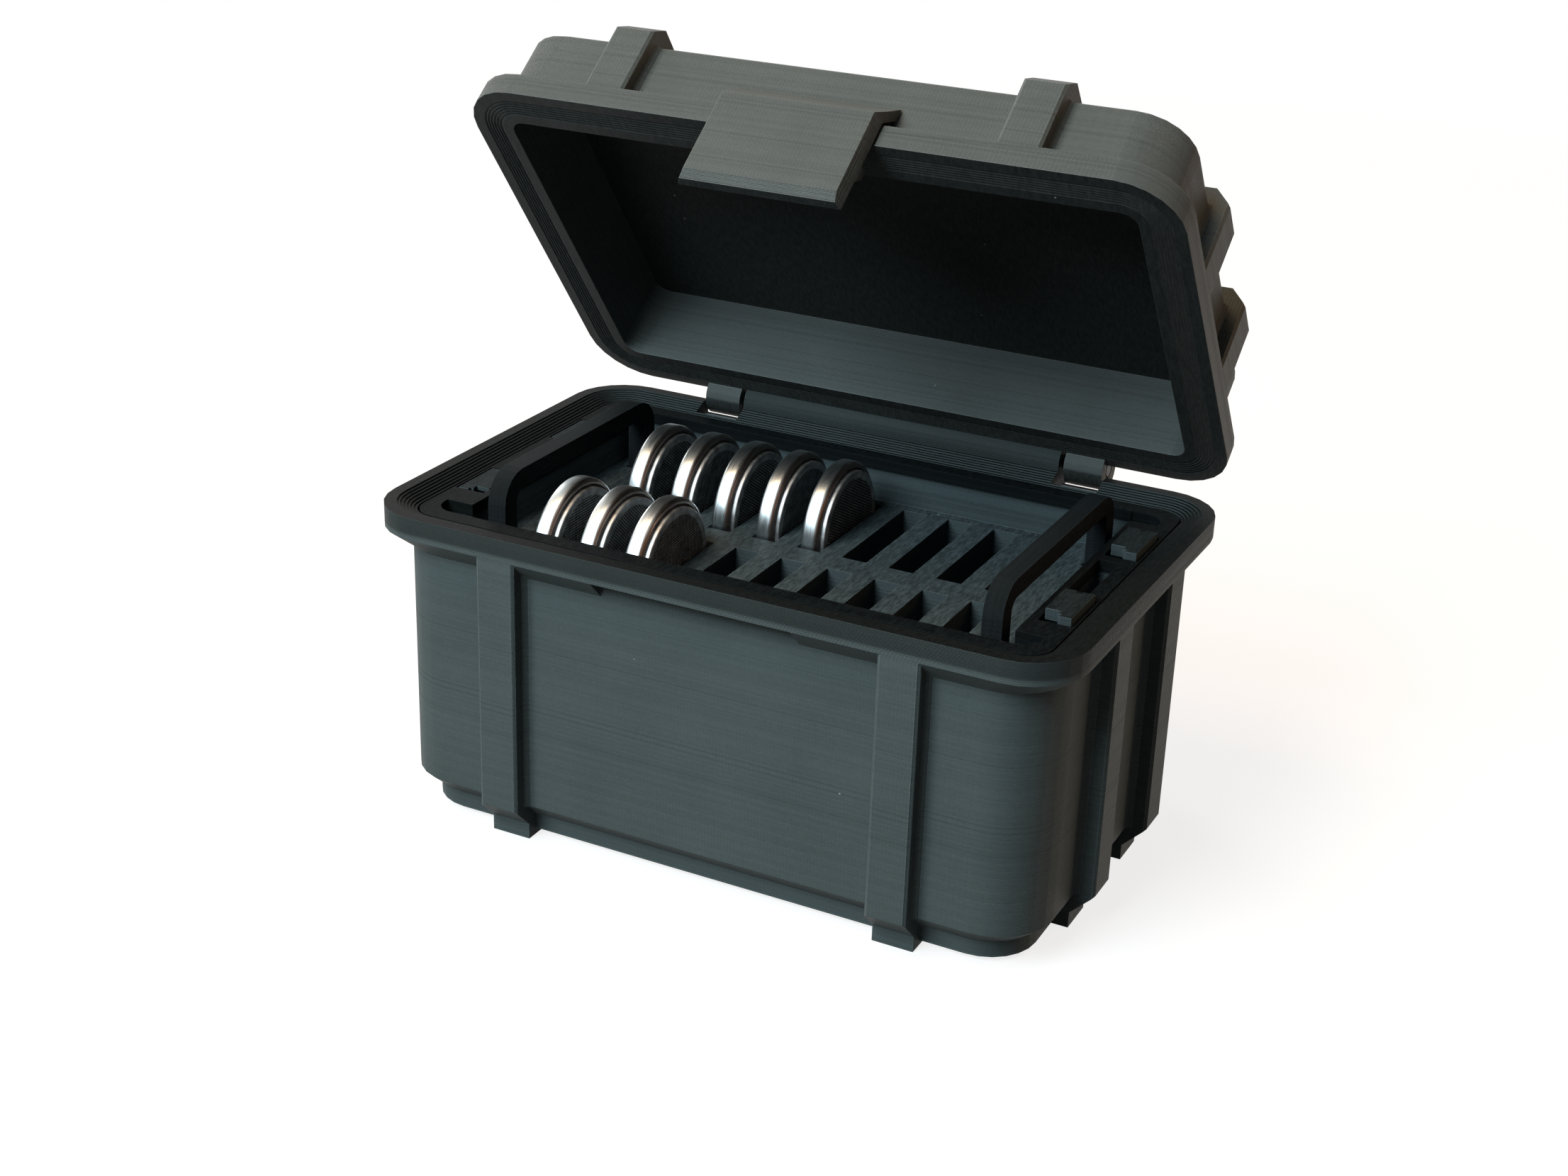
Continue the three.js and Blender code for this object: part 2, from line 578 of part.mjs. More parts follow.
// Coin cell, turned about X: the can opens to +X and holds the gasket and the cap

function turned(profile, x, y, z) {
  const g = new THREE.LatheGeometry(profile.map(([r, h]) => new THREE.Vector2(r, h)), CELL_STEPS);
  g.rotateZ(-Math.PI / 2);
  g.translate(x - CELL_THICK / 2, y, z);
  return toGeometry(toSolid(g));
}

function cellPieces(x, y, z) {
  const inner = CELL_R - CAN_WALL;
  const crimp = CELL_R - CRIMP_WIDE;
  const gasketOut = crimp - CELL_GAP;
  const gasketIn = gasketOut - GASKET_THICK;
  const capR = gasketIn - CELL_GAP;
  const can = [[0, 0], [CELL_R - CAN_EDGE, 0], [CELL_R, CAN_EDGE], [CELL_R, CAN_SHOULDER],
    [crimp, CRIMP_TOP], [crimp, CRIMP_LOW], [inner, CAN_SHOULDER - CAN_EDGE], [inner, CAN_WALL], [0, CAN_WALL]];
  const gasket = [[gasketIn, GASKET_LOW], [gasketOut, GASKET_LOW], [gasketOut, GASKET_TOP],
    [gasketIn, GASKET_TOP], [gasketIn, GASKET_LOW]];
  const cap = [[0, CAP_LOW], [capR, CAP_LOW], [capR, CELL_THICK - CAP_EDGE], [capR - CAP_EDGE, CELL_THICK],
    [0, CELL_THICK]];
  return { can: turned(can, x, y, z), gasket: turned(gasket, x, y, z), cap: turned(cap, x, y, z) };
}

// Assembly

const part = new THREE.Group();
part.name = "battery_storage_box";

function add(name, geometry, finish) {
  geometry.computeVertexNormals();
  const look = FINISH[finish];
  const mesh = new THREE.Mesh(geometry, new THREE.MeshStandardMaterial({
    name: finish, color: new THREE.Color(look.color), roughness: look.roughness, metalness: look.metalness,
  }));
  mesh.name = name;
  part.add(mesh);
}

function addHardware() {
  for (const s of BOTH) {
    const side = s > 0 ? "right" : "left";
    const pinIn = KNUCKLE_IN - PIN_DEEP;
    add(`hinge_pin_${side}`, toGeometry(rodX(PIN_R, s * pinIn, s * KNUCKLE_OUT, AXIS_Y, AXIS_Z, PIN_SIDES)), "steel");
    add(`hinge_rest_pin_${side}`, toGeometry(rodX(STOP_R, s * KNUCKLE_IN, s * KNUCKLE_OUT, RIM_HALF_Y - STOP_INSET,
      RIM_Z - NOTCH_DEPTH + GAP + STOP_R, STOP_SIDES)), "steel");
  }
}

function addTray() {
  add("tray", toGeometry(traySolid()), "tray");
  for (const sx of BOTH) {
    const side = sx > 0 ? "right" : "left";
    add(`tray_handle_${side}`, toGeometry(handleSolid(sx)), "tray");
    for (const sy of BOTH) {
      add(`tray_plate_${side}_${sy > 0 ? "back" : "front"}`, toGeometry(plateSolid(sx, sy)), "tray");
    }
  }
}

function addCells() {
  for (const [row, count] of [[-1, FRONT_CELLS], [1, BACK_CELLS]]) {
    for (let k = 0; k < count; k++) {
      const name = `cell_${row < 0 ? "front" : "back"}_${k + 1}`;
      const pieces = cellPieces(slotX(k), slotY(row), RIM_Z - CELL_DEPTH);
      add(`${name}_can`, pieces.can, "can");
      add(`${name}_gasket`, pieces.gasket, "gasket");
      add(`${name}_cap`, pieces.cap, "cap");
    }
  }
}

// The part's origin is under the middle of its bounding box, at rest
function centreOnGround() {
  const bounds = new THREE.Box3().setFromObject(part);
  const middle = bounds.getCenter(new THREE.Vector3());
  for (const mesh of part.children) mesh.geometry.translate(-middle.x, -middle.y, -bounds.min.z);
}

add("base_box", toGeometry(baseSolid()), "print");
add("lid", swingLid(toGeometry(lidSolid())), "print");
add("latch_clip", swingLid(toGeometry(latchSolid())), "print");
addHardware();
addTray();
addCells();
centreOnGround();

export default part;
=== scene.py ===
"""Looks of a printed storage box for coin cells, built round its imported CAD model."""

import json
import math

import bmesh
import bpy
from bpy.props import FloatProperty, FloatVectorProperty, IntProperty, PointerProperty
from mathutils import Matrix, Vector


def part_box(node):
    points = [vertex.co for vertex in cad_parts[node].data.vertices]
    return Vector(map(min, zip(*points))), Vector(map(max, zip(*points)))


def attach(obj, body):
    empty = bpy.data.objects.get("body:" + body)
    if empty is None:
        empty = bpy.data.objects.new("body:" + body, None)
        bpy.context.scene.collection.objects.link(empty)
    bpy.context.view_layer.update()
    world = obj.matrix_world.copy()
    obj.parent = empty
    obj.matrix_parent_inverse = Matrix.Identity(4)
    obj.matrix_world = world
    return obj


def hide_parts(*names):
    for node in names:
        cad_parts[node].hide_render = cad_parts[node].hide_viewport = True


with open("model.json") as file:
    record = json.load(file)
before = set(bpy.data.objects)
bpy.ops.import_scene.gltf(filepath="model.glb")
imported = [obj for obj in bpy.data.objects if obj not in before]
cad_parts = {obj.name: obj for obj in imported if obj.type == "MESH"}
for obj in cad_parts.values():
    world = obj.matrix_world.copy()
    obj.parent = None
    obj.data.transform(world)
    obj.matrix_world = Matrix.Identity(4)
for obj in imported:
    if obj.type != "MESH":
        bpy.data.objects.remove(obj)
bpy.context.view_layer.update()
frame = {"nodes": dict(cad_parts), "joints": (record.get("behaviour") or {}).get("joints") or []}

bl_info = {
    "name": "Coin cell storage box",
    "version": (1, 0, 0),
    "blender": (4, 5, 0),
    "location": "View3D > Sidebar > Cell box",
    "description": "Prints, fills and lights a storage box for coin cells",
    "category": "Object",
}

MM = 0.001
PHOTO_WIDE = 2212
SHELL_NODES = ("base_box",)
LID_NODES = ("lid", "latch_clip")
TRAY_NODES = ("tray",)
HANDLE_NODES = ("tray_handle_left", "tray_handle_right")
PLATE_NODES = [f"tray_plate_{side}_{end}" for side in ("left", "right") for end in ("front", "back")]
PIN_NODES = ("hinge_pin_left", "hinge_pin_right", "hinge_rest_pin_left", "hinge_rest_pin_right")
CELLS = [f"cell_front_{k}" for k in (1, 2, 3)] + [f"cell_back_{k}" for k in (1, 2, 3, 4, 5)]

# Turned pieces of a cell: radii, depths from the flat side of the can, and the turn from one cell to the next
CAN_R = 10 * MM
CAN_BEND = 0.45 * MM
CAN_INSIDE = 0.5 * MM
CRIMP_TOP = 2.55 * MM
CRIMP_BEND = 0.75 * MM
CRIMP_IN = 9.1 * MM
LIP_BEND = 0.12 * MM
GASKET_R = 9.07 * MM
GASKET_HALF = 0.12 * MM
GASKET_LOW = 1.2 * MM
GASKET_TOP = 2.42 * MM
CAP_R = 8.8 * MM
CAP_BEND = 0.2 * MM
CAP_LOW = 1.4 * MM
CAP_DOTTED_R = 7.7 * MM
CAP_STEP = 0.06 * MM
CELL_DEEP = 3.2 * MM
CELL_TURN = 2.4

# Shading: an edge sharper than its crease stays sharp, and points nearer than a gap are joined
CREASE = math.radians(30)
CELL_CREASE = math.radians(40)
WELD_GAP = 0.001 * MM
SAME_POINT = 0.0001 * MM

# How far below the tray's top a painted shade darkens its ring and the base's rim, and how far it is
# below the rim
RING_DEEP = 2 * MM
RIM_DEEP = 1.4 * MM
SEAT_DEEP = 1.2 * MM

# A face counts as level, and a layer as an odd one, from the first of these shares, fully from the second
LEVEL_SHARES = (0.72, 0.82)
ODD_LAYER_SHARES = (0.9, 0.94)

# Marks of the print: how many to a millimetre, and how much sparser the grit is along Y than across it
FUZZ_SCALE = 2.6
CLOUD_SCALE = 0.09
GRIT_SCALE = 2.4
GRIT_DRAWN_OUT = 0.22

# How far the ripples shift from layer to layer, in radians at most
RIPPLE_SHIFT = 2.0

# Heights in the bump, as shares of a layer's ridge, which is PRINT_BUMP high. Grit rises with the grain,
# from GRIT_STARTS on
ODD_LAYER_RISE = 1.2
RIPPLE_RISE = 0.5
STRAND_RISE = 0.2
FUZZ_RISE = 1.2
GRIT_RISE = 3.0
GRIT_STARTS = 0.8
PRINT_BUMP = 0.03 * MM

# Shades of the print, as shares of the filament's colour, and the height in millimetres over which the
# painted shade of the top sets in
WALL_SHADE = 0.62
LAYER_SHADE = 0.14
ODD_LAYER_SHADE = -0.18
FUZZ_SHADE = 0.36
CLOUD_SHADE = 0.24
GRIT_DARKER = 0.24
GRIT_LIGHTER = 0.45
# Painted shade of level faces on the side away from the dark side
OTHER_SIDE_PAINTED_SHADE = 0.8
# Painted highlight on edges, as a share of the shade
EDGE_PAINTED_HIGHLIGHT = 1.2
TOP_FADES_IN = 0.3

# Metal: the wire, its marks along and across it, the rubbed marks of the can along its axis, and the
# painted brown reflection on the crimp, which begins and ends at these shares of the bend below its top
WIRE_COLOUR = "#3c3e40"
WIRE_MARKS = (0.3 / MM, 9 / MM, 9 / MM)
CAN_MARKS = 3.2 / MM
CRIMP_REFLECTION_COLOUR = "#6b4c33"
CRIMP_REFLECTION_STARTS = 0.9
CRIMP_REFLECTION_ENDS = 0.4
CRIMP_REFLECTION_SHARE = 0.6

# Specks on the print, in millimetres, and the share of places that have one
DUST_SPACING = 5.0
DUST_SIZE = 0.11
DUST_SHARE = 0.35
DUST_COLOUR = "#9fa5a6"

# Stage: the floor, and the flag with its bends in degrees from the front
FLOOR_HALF = 3.0
FLOOR_NEAR = 0.22
FLOOR_FAR = 0.55
FLOOR_UNSEEN = "#5c5c5c"
FLAG_AWAY = 0.5
FLAG_HIGH = 0.6
FLAG_FROM = 34
FLAG_TO = 114
FLAG_STEP = 10
# Brown glow of the flag, seen only in reflections
FLAG_COLOUR = "#7c5d45"
FLAG_STRENGTH = 1.8
CLIP_START = 0.01
CLIP_END = 20


def linear(hex_colour):
    """A linear colour, without alpha, from an sRGB hex value."""
    values = [int(hex_colour[i:i + 2], 16) / 255 for i in (1, 3, 5)]
    return tuple(v / 12.92 if v <= 0.04045 else ((v + 0.055) / 1.055) ** 2.4 for v in values)


def hinge_of(name):
    """The record's row for one joint."""
    return next(j for j in frame["joints"] if j["name"] == name)


def opened_angle():
    """How far the lid stands open at rest, in radians."""
    return math.radians(-hinge_of("lid_hinge")["range_deg"][0])


def add(tree, kind, inputs=None, **settings):
    """Adds a node with its settings. Each input takes a value, a socket, or the first output of a node."""
    made = tree.nodes.new(kind)
    for key, value in settings.items():
        setattr(made, key, value)
    for key, value in (inputs or {}).items():
        if isinstance(value, bpy.types.Node):
            value = value.outputs[0]
        if isinstance(value, bpy.types.NodeSocket):
            tree.links.new(value, made.inputs[key])
        else:
            made.inputs[key].default_value = value
    return made


def new_material(name):
    """An empty node material and its tree."""
    material = bpy.data.materials.new(name)
    material.use_nodes = True
    material.node_tree.nodes.clear()
    return material, material.node_tree


def finish_material(tree, shader):
    """Ends a material's tree with its shader."""
    add(tree, "ShaderNodeOutputMaterial", {"Surface": shader.outputs[0]})


class PrintSettings(bpy.types.PropertyGroup):
    """How the box was printed."""

    layer: FloatProperty(
        name="Layer height", description="Of one printed layer, coarser than a real 0.2 mm so that it shows",
        default=0.28 * MM, unit="LENGTH", precision=5)
    strand: FloatProperty(
        name="Strand width", description="Width of one strand on a level surface",
        default=0.42 * MM, unit="LENGTH", precision=5)
    ripple: FloatProperty(
        name="Ripple length", description="Spacing of the faint upright ripples in a wall",
        default=0.5 * MM, unit="LENGTH", precision=5)
    edge: FloatProperty(
        name="Edge rounding", description="Radius that the nozzle leaves on every edge",
        default=0.14 * MM, unit="LENGTH", precision=5)
    shell_colour: FloatVectorProperty(
        name="Shell colour", description="Black filament of the base",
        default=linear("#454d4e"), subtype="COLOR")
    lid_colour: FloatVectorProperty(
        name="Lid colour", description="Black filament of the lid and the latch",
        default=linear("#464b4b"), subtype="COLOR")
    tray_colour: FloatVectorProperty(
        name="Tray colour", description="Black filament of the tray",
        default=linear("#30383b"), subtype="COLOR")
    handle_colour: FloatVectorProperty(
        name="Handle colour", description="Black filament of the two handles",
        default=linear("#15191b"), subtype="COLOR")


class CellSettings(bpy.types.PropertyGroup):
    """The coin cells."""

    round_steps: IntProperty(
        name="Steps round a cell", description="How many flat steps make a cell's circle", default=128)
    dot_pitch: FloatProperty(
        name="Dot pitch", description="Spacing of the stippled dots on the cap",
        default=0.55 * MM, unit="LENGTH", precision=5)
    can_colour: FloatVectorProperty(
        name="Can colour", description="Nickel-plated steel of the can",
        default=linear("#aeb8bd"), subtype="COLOR")
    cap_colour: FloatVectorProperty(
        name="Cap colour", description="Steel of the stippled cap",
        default=linear("#7d8082"), subtype="COLOR")
    gasket_colour: FloatVectorProperty(
        name="Gasket colour", description="Sealing ring between can and cap",
        default=linear("#2a1c14"), subtype="COLOR")


class StageSettings(bpy.types.PropertyGroup):
    """Camera, floor and lamps."""

    azimuth: FloatProperty(
        name="Azimuth", description="Camera's turn from the front towards the right",
        default=math.radians(26.26), subtype="ANGLE")
    elevation: FloatProperty(
        name="Elevation", description="Camera's angle above the horizon",
        default=math.radians(23.54), subtype="ANGLE")
    roll: FloatProperty(
        name="Roll", description="Camera's tilt about its own axis",
        default=math.radians(1.974), subtype="ANGLE")
    distance: FloatProperty(
        name="Distance", description="From the camera to the middle of the rim",
        default=327.4 * MM, unit="LENGTH")
    aside: FloatProperty(
        name="Aside", description="Camera's shift to its right", default=-2.62 * MM, unit="LENGTH")
    lift: FloatProperty(
        name="Lift", description="Camera's shift upwards", default=-11.67 * MM, unit="LENGTH")
    focal: FloatProperty(
        name="Focal length", description="Of the photo, in pixels", default=3295.4)
    floor_colour: FloatVectorProperty(
        name="Floor colour", description="Pale matt floor", default=linear("#fafafa"), subtype="COLOR")
    floor_white: FloatProperty(
        name="Floor white", description="Share of the floor that shows plain white", default=0.8,
        subtype="FACTOR")
    room_light: FloatProperty(
        name="Room light", description="Strength of the light from all round", default=0.09)


def print_coordinates(tree, turn):
    """Place in millimetres and facing along the printer's axes: a piece is turned back as it was printed."""
    place = add(tree, "ShaderNodeTexCoord")
    spot = add(tree, "ShaderNodeMapping", {
        "Vector": place.outputs["Object"], "Rotation": turn, "Scale": (1 / MM,) * 3})
    facing = add(tree, "ShaderNodeMapping", {
        "Vector": place.outputs["Normal"], "Rotation": turn}, vector_type="VECTOR")
    return spot, facing


def layered_walls(tree, axes, faces, settings):
    """Height of a printed wall's surface, and a number for each layer: rounded ridges, one a layer, with
    faint upright ripples in them, and one layer in twelve that stands out."""
    layers = add(tree, "ShaderNodeMath", {
        0: axes.outputs["Z"], 1: settings.layer / MM}, operation="DIVIDE")
    turn = add(tree, "ShaderNodeMath", {0: layers, 1: math.pi}, operation="MULTIPLY")
    wave = add(tree, "ShaderNodeMath", {0: turn}, operation="SINE")
    ridge = add(tree, "ShaderNodeMath", {0: wave}, operation="ABSOLUTE")
    number = add(tree, "ShaderNodeMath", {0: layers}, operation="FLOOR")
    each = add(tree, "ShaderNodeTexWhiteNoise", {"W": number}, noise_dimensions="1D")
    odd = add(tree, "ShaderNodeMapRange", {
        "Value": each, "From Min": ODD_LAYER_SHARES[0], "From Max": ODD_LAYER_SHARES[1]})
    form = add(tree, "ShaderNodeMath", {0: odd, 1: ODD_LAYER_RISE, 2: ridge}, operation="MULTIPLY_ADD")
    aside = [add(tree, "ShaderNodeMath", {0: faces.outputs[a]}, operation="ABSOLUTE") for a in "YX"]
    run = add(tree, "ShaderNodeMath", {0: axes.outputs["X"], 1: aside[0]}, operation="MULTIPLY")
    run = add(tree, "ShaderNodeMath", {
        0: axes.outputs["Y"], 1: aside[1], 2: run}, operation="MULTIPLY_ADD")
    turns = add(tree, "ShaderNodeMath", {
        0: run, 1: 2 * math.pi * MM / settings.ripple}, operation="MULTIPLY")
    phase = add(tree, "ShaderNodeMath", {0: each, 1: RIPPLE_SHIFT, 2: turns}, operation="MULTIPLY_ADD")
    ripple = add(tree, "ShaderNodeMath", {0: phase}, operation="SINE")
    form = add(tree, "ShaderNodeMath", {0: ripple, 1: RIPPLE_RISE, 2: form}, operation="MULTIPLY_ADD")
    return form, each, odd


def level_strands(tree, axes, settings):
    """Height of a level surface: strands side by side, laid at 45 degrees to the walls."""
    across = add(tree, "ShaderNodeMath", {0: axes.outputs["X"], 1: axes.outputs["Y"]}, operation="ADD")
    turn = add(tree, "ShaderNodeMath", {
        0: across, 1: math.pi * MM / (math.sqrt(2) * settings.strand)}, operation="MULTIPLY")
    wave = add(tree, "ShaderNodeMath", {0: turn}, operation="SINE")
    ridge = add(tree, "ShaderNodeMath", {0: wave}, operation="ABSOLUTE")
    return add(tree, "ShaderNodeMath", {0: ridge, 1: STRAND_RISE}, operation="MULTIPLY")


def wall_shade(tree, spot, each, odd, fuzz, grain):
    """Shade of a wall: each layer a little lighter or darker than the next, with fine grain and clouds."""
    cloud = add(tree, "ShaderNodeTexNoise", {"Vector": spot, "Scale": CLOUD_SCALE, "Detail": 2.0})
    shade = add(tree, "ShaderNodeMath", {
        0: each, 1: LAYER_SHADE * grain * grain, 2: WALL_SHADE}, operation="MULTIPLY_ADD")
    for mark, share in ((odd, ODD_LAYER_SHADE), (fuzz, FUZZ_SHADE * grain), (cloud, CLOUD_SHADE)):
        shade = add(tree, "ShaderNodeMath", {0: mark, 1: share, 2: shade}, operation="MULTIPLY_ADD")
    return shade


def level_grit_and_painted_shade(tree, faces, grit, grain, dark_side_painted_shade, dark_side):
    """Shade of a level face: gritty, with a painted shade, darker on the dark side than on the other."""
    patch = add(tree, "ShaderNodeMapRange", {
        "Value": grit, "From Min": 0.4, "From Max": 0.62,
        "To Min": 1 - GRIT_DARKER * grain, "To Max": 1 + GRIT_LIGHTER * grain})
    # Painted shade: level faces darker on the dark side than on the other
    side = add(tree, "ShaderNodeMath", {0: faces.outputs["Z"], 1: dark_side}, operation="MULTIPLY")
    base = add(tree, "ShaderNodeMapRange", {
        "Value": side, "From Min": -0.5, "From Max": 0.5, "To Min": OTHER_SIDE_PAINTED_SHADE, "To Max": dark_side_painted_shade})
    return add(tree, "ShaderNodeMath", {0: patch, 1: base}, operation="MULTIPLY")


def dust(tree, spot):
    """Where a few bright specks of dust and stray plastic lie."""
    cells = add(tree, "ShaderNodeTexVoronoi", {"Vector": spot, "Scale": 1 / DUST_SPACING, "Randomness": 1.0})
    near = add(tree, "ShaderNodeMath", {
        0: cells.outputs["Distance"], 1: DUST_SIZE / DUST_SPACING}, operation="LESS_THAN")
    pick = add(tree, "ShaderNodeSeparateColor", {"Color": cells.outputs["Color"]})
    chosen = add(tree, "ShaderNodeMath", {0: pick, 1: DUST_SHARE}, operation="LESS_THAN")
    return add(tree, "ShaderNodeMath", {0: near, 1: chosen}, operation="MULTIPLY")


def edge_highlight_mask(tree, rounded):
    """Mask of the painted highlight on edges: 1 along an edge and 0 on open faces, from how far the
    rounded normal leans away from the face's own.
    """
    own = add(tree, "ShaderNodeNewGeometry")
    match = add(tree, "ShaderNodeVectorMath", {
        0: rounded, 1: own.outputs["Normal"]}, operation="DOT_PRODUCT")
    return add(tree, "ShaderNodeMapRange", {
        "Value": match.outputs["Value"], "From Min": 0.999, "From Max": 0.93, "To Min": 0.0, "To Max": 1.0})


def filament(name, colour, settings, turn=(0, 0, 0), grain=1.0, gloss=0.06, dark_side_painted_shade=0.2, dark_side=1,
             top=None, top_share=1.0, ruled=True):
    """Black PLA, extruded in thin layers: a dark satin surface that the layers break into fine level
    lines, each a little smoother or rougher than the next. Level faces are gritty, ruled with slanting
    strands where ruled is set, and carry a painted shade, darkest on the dark side (1 up, -1 down). Edges
    are rounded by the nozzle and get a painted highlight, and a few specks lie on it. Above the height
    top, where one is given, a painted shade darkens the piece, and it keeps top_share of its shade."""
    material, tree = new_material(name)
    spot, facing = print_coordinates(tree, turn)
    axes = add(tree, "ShaderNodeSeparateXYZ", {"Vector": spot})
    faces = add(tree, "ShaderNodeSeparateXYZ", {"Vector": facing})
    up = add(tree, "ShaderNodeMath", {0: faces.outputs["Z"]}, operation="ABSOLUTE")
    level = add(tree, "ShaderNodeMapRange", {
        "Value": up, "From Min": LEVEL_SHARES[0], "From Max": LEVEL_SHARES[1]})
    fuzz = add(tree, "ShaderNodeTexNoise", {
        "Vector": spot, "Scale": FUZZ_SCALE, "Detail": 4.0, "Roughness": 0.7})
    drawn_out = add(tree, "ShaderNodeMapping", {"Vector": spot, "Scale": (1.0, GRIT_DRAWN_OUT, 1.0)})
    grit = add(tree, "ShaderNodeTexNoise", {
        "Vector": drawn_out, "Scale": GRIT_SCALE, "Detail": 6.0, "Roughness": 0.8})
    rounded = add(tree, "ShaderNodeBevel", {"Radius": settings.edge}, samples=4)

    walls, each, odd = layered_walls(tree, axes, faces, settings)
    strands = level_strands(tree, axes, settings) if ruled else 0.0
    form = add(tree, "ShaderNodeMix", {"Factor": level, "A": walls, "B": strands})
    form = add(tree, "ShaderNodeMath", {0: fuzz, 1: FUZZ_RISE * grain, 2: form}, operation="MULTIPLY_ADD")
    rise = add(tree, "ShaderNodeMath", {
        0: level, 1: GRIT_RISE * (grain - GRIT_STARTS)}, operation="MULTIPLY")
    form = add(tree, "ShaderNodeMath", {0: grit, 1: rise, 2: form}, operation="MULTIPLY_ADD")
    bump = add(tree, "ShaderNodeBump", {
        "Strength": 0.6, "Distance": PRINT_BUMP, "Height": form, "Normal": rounded})

    # Walls show their layers; level faces show grit under a painted shade
    shade = add(tree, "ShaderNodeMix", {
        "Factor": level, "A": wall_shade(tree, spot, each, odd, fuzz, grain),
        "B": level_grit_and_painted_shade(tree, faces, grit, grain, dark_side_painted_shade, dark_side)})
    # Above top, a painted shade darkens the piece to top_share of its shade
    if top:
        above = add(tree, "ShaderNodeMapRange", {
            "Value": axes.outputs["Z"], "From Min": top, "From Max": top + TOP_FADES_IN,
            "To Min": 1.0, "To Max": top_share})
        shade = add(tree, "ShaderNodeMath", {0: shade, 1: above}, operation="MULTIPLY")
    # A painted highlight lightens the edges
    light = add(tree, "ShaderNodeMath", {
        0: edge_highlight_mask(tree, rounded), 1: EDGE_PAINTED_HIGHLIGHT, 2: 1.0}, operation="MULTIPLY_ADD")
    shade = add(tree, "ShaderNodeMath", {0: shade, 1: light}, operation="MULTIPLY")
    tone = add(tree, "ShaderNodeMix", {
        "Factor": 1.0, "A": (*colour, 1), "B": shade}, data_type="RGBA", blend_type="MULTIPLY")
    tone = add(tree, "ShaderNodeMix", {
        "Factor": dust(tree, spot), "A": tone.outputs[2], "B": (*linear(DUST_COLOUR), 1)}, data_type="RGBA")

    sheen = add(tree, "ShaderNodeMath", {0: each, 1: 0.4, 2: fuzz}, operation="MULTIPLY_ADD")
    sheen = add(tree, "ShaderNodeMapRange", {
        "Value": sheen, "From Min": 0.2, "From Max": 1.1, "To Min": 0.36, "To Max": 0.56})
    shader = add(tree, "ShaderNodeBsdfPrincipled", {
        "Base Color": tone.outputs[2], "Roughness": sheen, "IOR": 1.46, "Specular IOR Level": gloss,
        "Normal": bump})
    finish_material(tree, shader)
    return material


def drawn_wire():
    """Steel wire, drawn and cut: dull grey metal with fine bright lines along it."""
    material, tree = new_material("drawn_steel_wire")
    place = add(tree, "ShaderNodeTexCoord")
    along = add(tree, "ShaderNodeMapping", {
        "Vector": place.outputs["Object"], "Scale": WIRE_MARKS})
    lines = add(tree, "ShaderNodeTexNoise", {"Vector": along, "Scale": 1.0, "Detail": 2.0})
    rough = add(tree, "ShaderNodeMapRange", {"Value": lines, "To Min": 0.4, "To Max": 0.6})
    shade = add(tree, "ShaderNodeMapRange", {"Value": lines, "To Min": 0.6, "To Max": 1.1})
    tone = add(tree, "ShaderNodeMix", {
        "Factor": 1.0, "A": (*linear(WIRE_COLOUR), 1), "B": shade}, data_type="RGBA", blend_type="MULTIPLY")
    shader = add(tree, "ShaderNodeBsdfPrincipled", {
        "Base Color": tone.outputs[2], "Metallic": 1.0, "Roughness": rough})
    finish_material(tree, shader)
    return material


def nickel_plate(colour):
    """Nickel-plated steel can, drawn and crimped: bright, with rubbed marks that run round it, and a
    painted brown reflection towards the crimp."""
    material, tree = new_material("nickel_plated_steel")
    place = add(tree, "ShaderNodeTexCoord")
    axes = add(tree, "ShaderNodeSeparateXYZ", {"Vector": place.outputs["Object"]})
    angle = add(tree, "ShaderNodeMath", {0: axes.outputs["Z"], 1: axes.outputs["Y"]}, operation="ARCTAN2")
    lengthwise = add(tree, "ShaderNodeMath", {0: axes.outputs["X"], 1: CAN_MARKS}, operation="MULTIPLY")
    round_it = add(tree, "ShaderNodeCombineXYZ", {"X": lengthwise, "Y": angle})
    marks = add(tree, "ShaderNodeTexNoise", {
        "Vector": round_it, "Scale": 2.4, "Detail": 3.0, "Roughness": 0.55})
    rough = add(tree, "ShaderNodeMapRange", {
        "Value": marks, "From Min": 0.3, "From Max": 0.7, "To Min": 0.26, "To Max": 0.34})
    shade = add(tree, "ShaderNodeMapRange", {
        "Value": marks, "From Min": 0.3, "From Max": 0.6, "To Min": 0.8, "To Max": 1.0})
    tone = add(tree, "ShaderNodeMix", {
        "Factor": 1.0, "A": (*colour, 1), "B": shade}, data_type="RGBA", blend_type="MULTIPLY")
    # Painted reflection: brown towards the crimp
    brown = add(tree, "ShaderNodeMapRange", {
        "Value": axes.outputs["X"], "From Min": CRIMP_TOP - CRIMP_REFLECTION_STARTS * CRIMP_BEND,
        "From Max": CRIMP_TOP - CRIMP_REFLECTION_ENDS * CRIMP_BEND, "To Min": 0.0, "To Max": CRIMP_REFLECTION_SHARE})
    tone = add(tree, "ShaderNodeMix", {
        "Factor": brown, "A": tone.outputs[2], "B": (*linear(CRIMP_REFLECTION_COLOUR), 1)}, data_type="RGBA")
    bump = add(tree, "ShaderNodeBump", {"Strength": 0.06, "Distance": 0.02 * MM, "Height": marks})
    shader = add(tree, "ShaderNodeBsdfPrincipled", {
        "Base Color": tone.outputs[2], "Metallic": 1.0, "Roughness": rough, "Normal": bump})
    finish_material(tree, shader)
    return material


